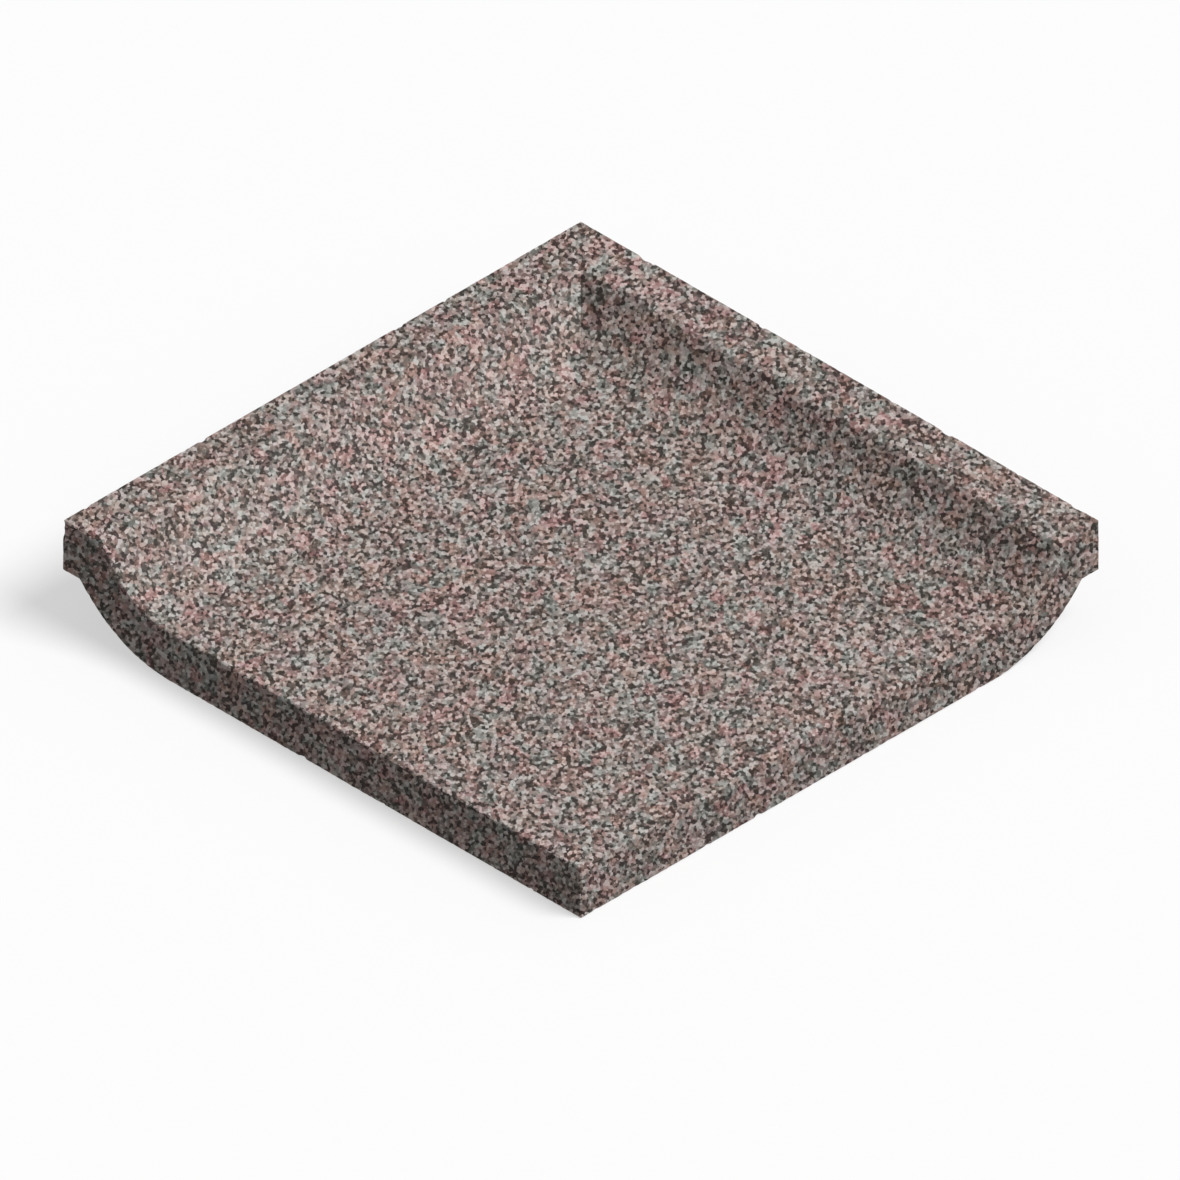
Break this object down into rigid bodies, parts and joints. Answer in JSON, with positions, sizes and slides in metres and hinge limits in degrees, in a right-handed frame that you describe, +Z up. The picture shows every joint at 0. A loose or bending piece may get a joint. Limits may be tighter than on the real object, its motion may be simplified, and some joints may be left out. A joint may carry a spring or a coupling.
{
  "type": "granite corner slab",
  "caption": "Square dished granite corner slab: two adjoining sides curve up into flat mitred rims, the other two are sawn plain.",
  "frame": {"origin": "middle of the square footprint, on the level bed that the slab rests on", "axes": "+Z up, out of the bed; the raised rims run along the -X side and the +Y side and meet in the -X +Y corner; the plain sawn joint faces look along -Y and +X"},
  "size_m": [0.96, 0.96, 0.16],
  "materials": {
    "granite": "flamed, matt, grey-pink with dark mica"
  },
  "bodies": {
    "root": {"corner_slab": "granite"}
  },
  "joints": []
}
